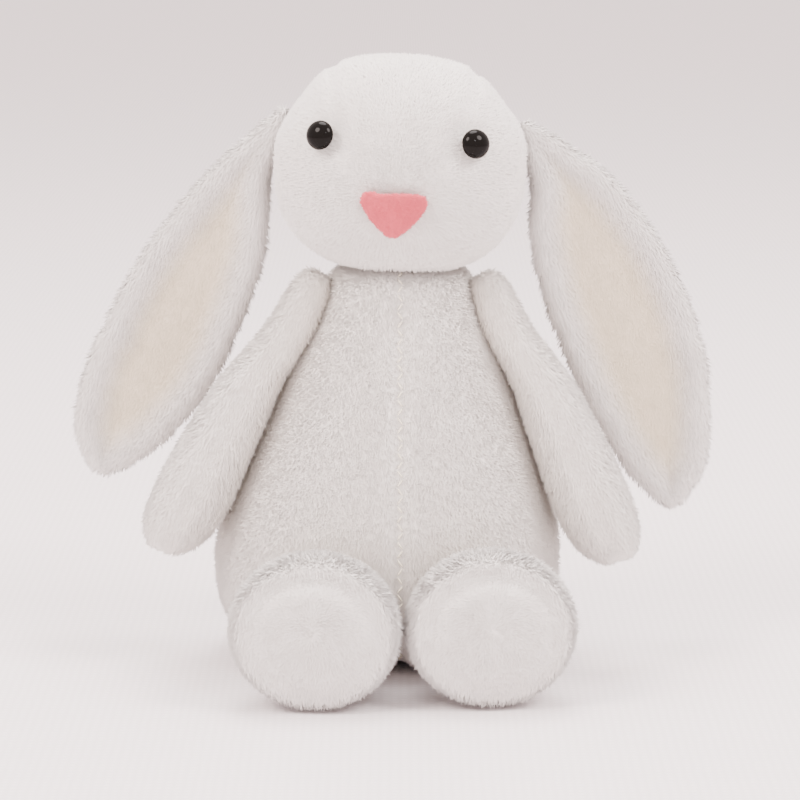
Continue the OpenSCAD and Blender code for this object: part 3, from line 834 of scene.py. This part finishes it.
def turned_mesh(name, centre, axis, profile, around):
    """A closed turned shape: rings of (height, radius) about an axis."""
    side = unit(np.cross(axis, (0.3, 0.1, 0.9)))
    other = np.cross(axis, side)
    points, faces = [], []
    for height, radius in profile:
        for k in range(around):
            a = 2 * math.pi * k / around
            points.append(centre + axis * height + radius * (side * math.cos(a) + other * math.sin(a)))
    for j in range(len(profile) - 1):
        for k in range(around):
            n = (k + 1) % around
            faces.append((j * around + k, j * around + n, (j + 1) * around + n, (j + 1) * around + k))
    last = len(profile) - 1
    points += [centre + axis * profile[0][0], centre + axis * (profile[-1][0] + profile[-1][1] * 0.04)]
    for k in range(around):
        n = (k + 1) % around
        faces.append((n, k, len(points) - 2))
        faces.append((last * around + k, last * around + n, len(points) - 1))
    mesh = bpy.data.meshes.new(name)
    mesh.from_pydata([tuple(p) for p in points], [], faces)
    mesh.shade_smooth()
    return mesh


class RABBIT_OT_ears(bpy.types.Operator):
    """Makes the two lop ears, with their long white rims and shorter cream lining"""

    bl_idname = "rabbit.ears"
    bl_label = "Ears"

    def execute(self, context):
        pile = context.scene.rabbit_pile
        white = white_plush()
        for side, hand in (("left", 1), ("right", -1)):
            back, lining = "ear_back_" + side, "ear_lining_" + side
            ear = stuffed_cover("ear_cover_" + side, [back, lining], [back, lining], 0.5 * MM,
                                voxel=2.4 * MM, puff=0.8 * MM)
            points, out = coords(ear.data), normals(ear.data)
            to_back, to_lining = distance(points, [back]), distance(points, [lining])
            front = ramp(to_back - to_lining, -0.5 * MM, 0.5 * MM)
            depth = rim_distance(points, out)
            valley = front * ramp(depth, 4 * MM, 15 * MM)
            bead = bell(depth - 3 * MM, 3 * MM) * front
            points = points + np.array((0, 1, 0)) * (valley * 2.4 * MM)[:, None]
            points = points + out * (bead * 0.8 * MM)[:, None]
            # the root is sewn into the side of the head
            sewn = ramp(points[:, 2], 165 * MM, 186 * MM)
            points[:, 0] -= hand * sewn * 3 * MM
            set_coords(ear.data, points)
            out = normals(ear.data)
            down = np.tile((0.42 * hand, 0, -0.9), (len(points), 1))
            comb = along_cloth(down, out) * 0.75
            share = 1 - 0.45 * valley
            dressed(ear, share, comb, 0.04 + 0.9 * valley)
            covered(ear, white)
            fur = grown_pile("ear_pile_" + side, ear, white, np.ones(len(points)), length=pile.ear_length,
                             width=TUFT_WIDTH, tufts_per_area=pile.density * 1.4e6, clump_size=CLUMP,
                             clump_lean=0.9, scatter=0.35, stand=0.7)
            low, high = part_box(back)
            for piece in (ear, fur):
                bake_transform(piece)
            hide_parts(back, lining)
        return {"FINISHED"}


def rim_distance(points, out):
    """How far each point of an ear's face is from the ear's edge, across the ear."""
    edge = points[np.abs(out[:, 1]) < 0.25]
    flat = edge[:, [0, 2]]
    found = np.empty(len(points))
    for start in range(0, len(points), 2000):
        block = points[start : start + 2000, [0, 2]]
        found[start : start + 2000] = np.sqrt(((block[:, None] - flat[None]) ** 2).sum(2)).min(1)
    return found


class RABBIT_OT_torso(bpy.types.Operator):
    """Makes the torso's cover from its four panels, with its pile"""

    bl_idname = "rabbit.torso"
    bl_label = "Torso cover and pile"

    def execute(self, context):
        sewing, pile = context.scene.rabbit_sewing, context.scene.rabbit_pile
        torso = stuffed_cover("torso_cover", TORSO_PANELS, TORSO_PANELS, 0.9 * MM,
                              voxel=3.6 * MM, puff=2.0 * MM)
        points = coords(torso.data)
        gap = seam_distance(points, TORSO_PANELS)
        gap = gap + 0.1 * ramp(points[:, 2], 122 * MM, 130 * MM)
        groove(torso, gap, sewing.seam_depth, 2.2 * MM)
        points, out = coords(torso.data), normals(torso.data)
        # the neck stub reaches up into the head, so that nodding opens no gap
        neck = ramp(points[:, 2], 126 * MM, 133 * MM)
        points[:, 2] += neck * 7 * MM
        points[:, 2] = np.maximum(points[:, 2], 0.3 * MM)
        set_coords(torso.data, points)
        out = normals(torso.data)
        front_seam = np.where(points[:, 1] < 0, gap, 1.0)
        comb = along_cloth(np.tile((0, 0.0, -1.0), (len(points), 1)), out) * 0.4
        share = 1 - 0.3 * bell(gap, 2 * MM) - 0.25 * bell(front_seam, 1.6 * MM)
        share *= 1 - 0.5 * (points[:, 2] < 2 * MM)
        # a slight cream over all the torso, and painted crease shade: painted creamier within a few
        # millimetres of the arms and legs
        arms = distance(points, ["arm_inner_left", "arm_inner_right", "leg_cover_left", "leg_cover_right"])
        dressed(torso, share, comb, 0.08 + 0.3 * np.exp(-arms / (7 * MM)))
        white = white_plush()
        covered(torso, white)
        front = ramp(-points[:, 1], -1 * MM, 1 * MM)
        pieces = [torso]
        for name, part in (("torso_pile_front", front), ("torso_pile_back", 1 - front)):
            pieces.append(grown_pile(name, torso, white, part, length=pile.body_length, width=TUFT_WIDTH,
                                     tufts_per_area=pile.density * 1.1e6, clump_size=CLUMP,
                                     clump_lean=0.6, scatter=0.3, stand=0.85, softness=0.93))
        for piece in pieces:
            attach(piece, "torso")
        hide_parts("torso_stuffing", "bean_pouch", *TORSO_PANELS)
        return {"FINISHED"}


class RABBIT_OT_tail(bpy.types.Operator):
    """Makes the round tail and its pile"""

    bl_idname = "rabbit.tail"
    bl_label = "Tail"

    def execute(self, context):
        pile = context.scene.rabbit_pile
        tail = stuffed_cover("tail_cover_skin", ["tail_cover"], ["tail_cover"], 1.2 * MM, puff=1.0 * MM)
        points, out = coords(tail.data), normals(tail.data)
        comb = along_cloth(np.tile((0, 0.3, -1.0), (len(points), 1)), out) * 0.4
        dressed(tail, np.ones(len(points)), comb, np.full(len(points), 0.05))
        white = white_plush()
        covered(tail, white)
        fur = grown_pile("tail_pile", tail, white, np.ones(len(points)), length=pile.limb_length,
                         width=TUFT_WIDTH, clump_size=CLUMP, clump_lean=0.9, scatter=0.4, stand=0.9)
        for piece in (tail, fur):
            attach(piece, "torso")
        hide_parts("tail_cover", "tail_stuffing")
        return {"FINISHED"}


class RABBIT_OT_arms(bpy.types.Operator):
    """Makes the two hanging arms with their longer combed pile"""

    bl_idname = "rabbit.arms"
    bl_label = "Arms"

    def execute(self, context):
        sewing, pile = context.scene.rabbit_sewing, context.scene.rabbit_pile
        white = white_plush()
        for side, hand in (("left", 1), ("right", -1)):
            panels = ["arm_outer_" + side, "arm_inner_" + side]
            arm = stuffed_cover("arm_cover_" + side, panels, panels, 1.0 * MM,
                                voxel=2.8 * MM, puff=1.2 * MM)
            points = coords(arm.data)
            gap = seam_distance(points, panels)
            groove(arm, gap, sewing.seam_depth * 0.5, 2 * MM)
            points = coords(arm.data)
            # the top of the arm is sewn against the torso's shoulder
            sewn = ramp(points[:, 2], 95 * MM, 122 * MM)
            points[:, 0] -= hand * sewn * 5 * MM
            set_coords(arm.data, points)
            out = normals(arm.data)
            down = np.tile((0.4 * hand, -0.05, -0.9), (len(points), 1))
            comb = along_cloth(down, out) * 0.8
            # a slight cream over all the arm, and painted crease shade: painted creamier within a few
            # millimetres of the torso
            crease_shade_distance = distance(points, TORSO_PANELS)
            dressed(arm, 1 - 0.2 * bell(gap, 2 * MM), comb, 0.1 + 0.35 * np.exp(-crease_shade_distance / (7 * MM)))
            covered(arm, white)
            fur = grown_pile("arm_pile_" + side, arm, white, np.ones(len(points)), length=pile.limb_length,
                             width=TUFT_WIDTH, tufts_per_area=pile.density * 1.4e6, clump_size=CLUMP,
                             clump_lean=0.9, scatter=0.35, stand=0.7)
            for piece in (arm, fur):
                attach(piece, "arm_" + side)
            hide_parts("arm_stuffing_" + side, *panels)
        return {"FINISHED"}


class RABBIT_OT_legs(bpy.types.Operator):
    """Makes the two legs with their round soles"""

    bl_idname = "rabbit.legs"
    bl_label = "Legs and soles"

    def execute(self, context):
        sewing, pile = context.scene.rabbit_sewing, context.scene.rabbit_pile
        white = white_plush()
        for side, hand in (("left", 1), ("right", -1)):
            panels = ["leg_cover_" + side, "sole_" + side]
            leg = stuffed_cover("leg_cover_skin_" + side, panels + ["leg_stuffing_" + side], panels,
                                1.2 * MM, voxel=2.8 * MM, puff=1.5 * MM)
            points = coords(leg.data)
            gap = seam_distance(points, panels)
            groove(leg, gap, sewing.seam_depth * 1.2, 2.4 * MM)
            points, out = coords(leg.data), normals(leg.data)
            low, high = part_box("leg_cover_" + side)
            # the leg's root is sewn a little way into the torso
            root = ramp(points[:, 1], high.y - 5 * MM, high.y)
            points[:, 1] += root * 4 * MM
            points[:, 2] = np.maximum(points[:, 2], 0.6 * MM)
            set_coords(leg.data, points)
            out = normals(leg.data)
            disc_low, disc_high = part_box("sole_" + side)
            middle = np.array((disc_low + disc_high) / 2)
            sole = ramp(distance(points, [panels[0]]) - distance(points, [panels[1]]), -1 * MM, 1 * MM)
            radial = points - middle
            radial[:, 1] = 0
            cover_way = np.tile((0, -0.5, -0.6), (len(points), 1)) + unit(radial) * 0.3
            comb = along_cloth(unit(radial) + np.array((0, 0, -0.5)), out) * (0.6 * sole)[:, None]
            comb = comb + along_cloth(cover_way, out) * (0.7 * (1 - sole))[:, None]
            share = (1 - 0.35 * bell(gap, 2.2 * MM)) * (1 - 0.25 * sole)
            share *= 1 - 0.5 * (points[:, 2] < 2.5 * MM)
            # a slight cream over all the leg, and painted crease shade: painted creamier within a few
            # millimetres of the torso
            crease_shade_distance = distance(points, TORSO_PANELS)
            dressed(leg, share, comb, 0.04 + 0.3 * np.exp(-crease_shade_distance / (7 * MM)))
            covered(leg, white)
            fur = grown_pile("leg_pile_" + side, leg, white, np.ones(len(points)), length=pile.limb_length,
                             width=TUFT_WIDTH, tufts_per_area=pile.density * 1.3e6, clump_size=CLUMP,
                             clump_lean=0.8, scatter=0.35, stand=0.8)
            for piece in (leg, fur):
                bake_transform(piece)
            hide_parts("leg_stuffing_" + side, *panels)
        return {"FINISHED"}


def stitch_tree():
    """Geometry nodes that set stitches along a line, turned one way and the other by turns."""
    tree = bpy.data.node_groups.new("zigzag stitches", "GeometryNodeTree")
    tree.interface.new_socket("Line", in_out="INPUT", socket_type="NodeSocketGeometry")
    for name, kind, value in (("Pitch", "NodeSocketFloat", 3 * MM), ("Stitch", "NodeSocketFloat", 3 * MM),
                              ("Thread", "NodeSocketFloat", 0.7 * MM), ("Turn", "NodeSocketFloat", 0.6),
                              ("Material", "NodeSocketMaterial", None)):
        made = tree.interface.new_socket(name, in_out="INPUT", socket_type=kind)
        if value is not None:
            made.default_value = value
    tree.interface.new_socket("Stitches", in_out="OUTPUT", socket_type="NodeSocketGeometry")
    given = add(tree, "NodeGroupInput").outputs
    line = add(tree, "GeometryNodeMeshToCurve", {"Mesh": given["Line"]})
    spaced = add(tree, "GeometryNodeResampleCurve", {"Curve": line.outputs[0], "Length": given["Pitch"]},
                 mode="LENGTH")
    bead = add(tree, "GeometryNodeMeshUVSphere", {"Segments": 8, "Rings": 6, "Radius": 0.5})
    along = add(tree, "GeometryNodeInputTangent")
    number = add(tree, "GeometryNodeInputIndex")
    odd = add(tree, "ShaderNodeMath", {0: number.outputs[0], 1: 2.0}, operation="MODULO")
    swing = add(tree, "ShaderNodeMapRange", {"Value": odd.outputs[0], "To Min": -1.0, "To Max": 1.0})
    angle = add(tree, "ShaderNodeMath", {0: swing.outputs["Result"], 1: given["Turn"]},
                operation="MULTIPLY")
    aligned = add(tree, "FunctionNodeAxesToRotation", {"Primary Axis": along.outputs[0],
                                                       "Secondary Axis": (1.0, 0.0, 0.0)},
                  primary_axis="Z", secondary_axis="X")
    crossed = add(tree, "FunctionNodeAxisAngleToRotation", {
        "Axis": (0.0, 1.0, 0.0), "Angle": angle.outputs[0]})
    turned = add(tree, "FunctionNodeRotateRotation", {
        "Rotation": aligned.outputs[0], "Rotate By": crossed.outputs[0]}, rotation_space="LOCAL")
    size = add(tree, "ShaderNodeCombineXYZ", {
        "X": given["Thread"], "Y": given["Thread"], "Z": given["Stitch"]})
    sewn = add(tree, "GeometryNodeInstanceOnPoints", {
        "Points": spaced.outputs[0], "Instance": bead.outputs["Mesh"], "Rotation": turned.outputs[0],
        "Scale": size.outputs[0]})
    real = add(tree, "GeometryNodeRealizeInstances", {"Geometry": sewn.outputs[0]})
    painted = add(tree, "GeometryNodeSetMaterial", {
        "Geometry": real.outputs[0], "Material": given["Material"]})
    add(tree, "NodeGroupOutput", {"Stitches": painted.outputs[0]})
    return tree


class RABBIT_OT_stitches(bpy.types.Operator):
    """Sews the zigzag of closing stitches up the front seam"""

    bl_idname = "rabbit.stitches"
    bl_label = "Front seam stitches"

    def execute(self, context):
        sewing = context.scene.rabbit_sewing
        low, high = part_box("front_seam_thread")
        torso = bpy.data.objects["torso_cover"].data
        tree = BVHTree.FromPolygons([v.co.copy() for v in torso.vertices],
                                    [tuple(p.vertices) for p in torso.polygons])
        line = []
        for z in np.arange(low.z - 4 * MM, high.z + 6 * MM, 1.5 * MM):
            hit = tree.ray_cast(Vector((0, -0.2, z)), Vector((0, 1, 0)))[0]
            if hit:
                line.append(hit + Vector((0, -0.9 * MM, 0)))
        mesh = bpy.data.meshes.new("seam line")
        mesh.from_pydata([tuple(p) for p in line], [(i, i + 1) for i in range(len(line) - 1)], [])
        seam = object_of("seam line", mesh)
        nodes = stitch_tree()
        sewn = seam.modifiers.new("stitches", "NODES")
        sewn.node_group = nodes
        for key, value in (("Pitch", sewing.stitch_pitch), ("Stitch", sewing.stitch_length),
                           ("Thread", sewing.thread_width), ("Turn", 0.6), ("Material", cotton_thread())):
            sewn[nodes.interface.items_tree[key].identifier] = value
        stitches = object_of("front_seam_stitches", evaluated_mesh(seam))
        bpy.data.objects.remove(seam)
        stitches.data.shade_smooth()
        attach(stitches, "torso")
        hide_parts("front_seam_thread")
        return {"FINISHED"}


class RABBIT_PT_maker(bpy.types.Panel):
    """The rabbit's pieces, in the order in which they are made"""

    bl_idname = "RABBIT_PT_maker"
    bl_label = "Plush rabbit"
    bl_space_type = "VIEW_3D"
    bl_region_type = "UI"
    bl_category = "Rabbit"

    def draw(self, context):
        for key, kind in GROUPS:
            group = getattr(context.scene, key)
            box = self.layout.box()
            box.label(text=key.removeprefix("rabbit_").capitalize())
            for name in kind.__annotations__:
                box.prop(group, name)
        for operator in MAKERS:
            self.layout.operator(operator.bl_idname)


MAKERS = (RABBIT_OT_stage, RABBIT_OT_head, RABBIT_OT_face, RABBIT_OT_ears, RABBIT_OT_torso,
          RABBIT_OT_stitches, RABBIT_OT_tail, RABBIT_OT_arms, RABBIT_OT_legs)
GROUPS = (("rabbit_pile", RabbitPile), ("rabbit_colours", RabbitColours),
          ("rabbit_sewing", RabbitSewing), ("rabbit_stage", RabbitStage))


def register():
    for name, group in GROUPS:
        bpy.utils.register_class(group)
        setattr(bpy.types.Scene, name, bpy.props.PointerProperty(type=group))
    for kind in (*MAKERS, RABBIT_PT_maker):
        bpy.utils.register_class(kind)


def unregister():
    for kind in reversed((*MAKERS, RABBIT_PT_maker)):
        bpy.utils.unregister_class(kind)
    for name, group in reversed(GROUPS):
        delattr(bpy.types.Scene, name)
        bpy.utils.unregister_class(group)


def main():
    register()
    bpy.ops.rabbit.stage()
    bpy.ops.rabbit.head()
    bpy.ops.rabbit.face()
    bpy.ops.rabbit.ears()
    bpy.ops.rabbit.torso()
    bpy.ops.rabbit.stitches()
    bpy.ops.rabbit.tail()
    bpy.ops.rabbit.arms()
    bpy.ops.rabbit.legs()


if __name__ == "__main__":
    main()
